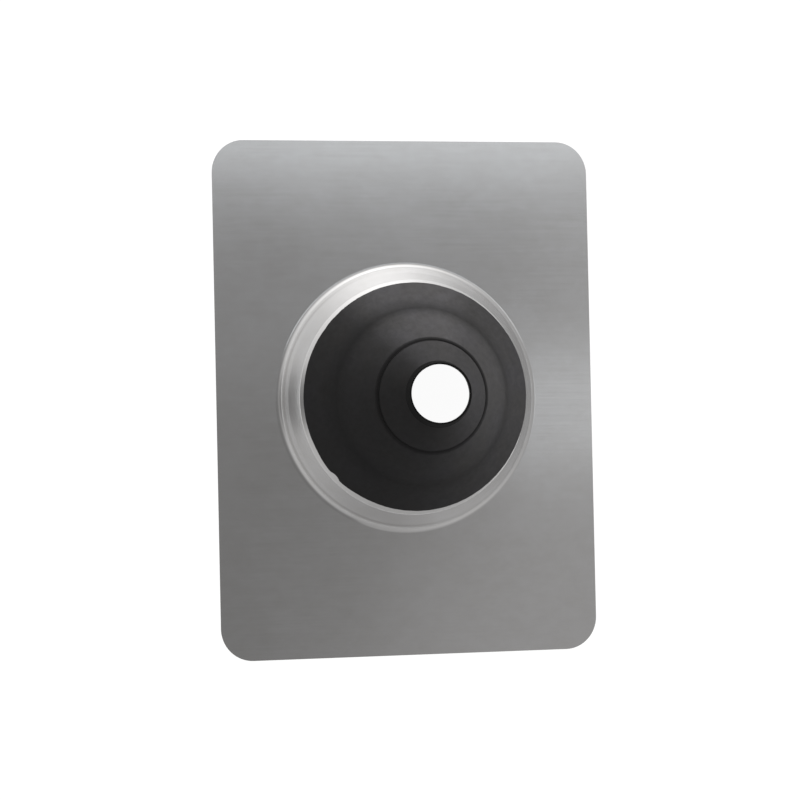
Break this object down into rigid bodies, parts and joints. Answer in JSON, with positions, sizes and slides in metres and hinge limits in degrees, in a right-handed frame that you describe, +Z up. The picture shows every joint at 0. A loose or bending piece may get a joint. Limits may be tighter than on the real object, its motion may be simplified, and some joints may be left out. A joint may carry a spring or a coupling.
{
  "type": "roof flashing",
  "caption": "Roof flashing for the post of a solar mount: a rectangular aluminium sheet with a round drawn boss and a stepped black rubber collar that seals round the post.",
  "frame": {"origin": "on the axis of the post opening, on the underside of the base sheet", "axes": "+Z up from the roof along the post, +Y up the slope along the longer side of the sheet, +X across the slope"},
  "size_m": [0.2286, 0.3016, 0.0691],
  "materials": {
    "mill_aluminium": "satin mill finish",
    "black_rubber": "satin, as moulded"
  },
  "bodies": {
    "root": {"aluminium_base": "mill_aluminium", "rubber_collar": "black_rubber"}
  },
  "joints": []
}
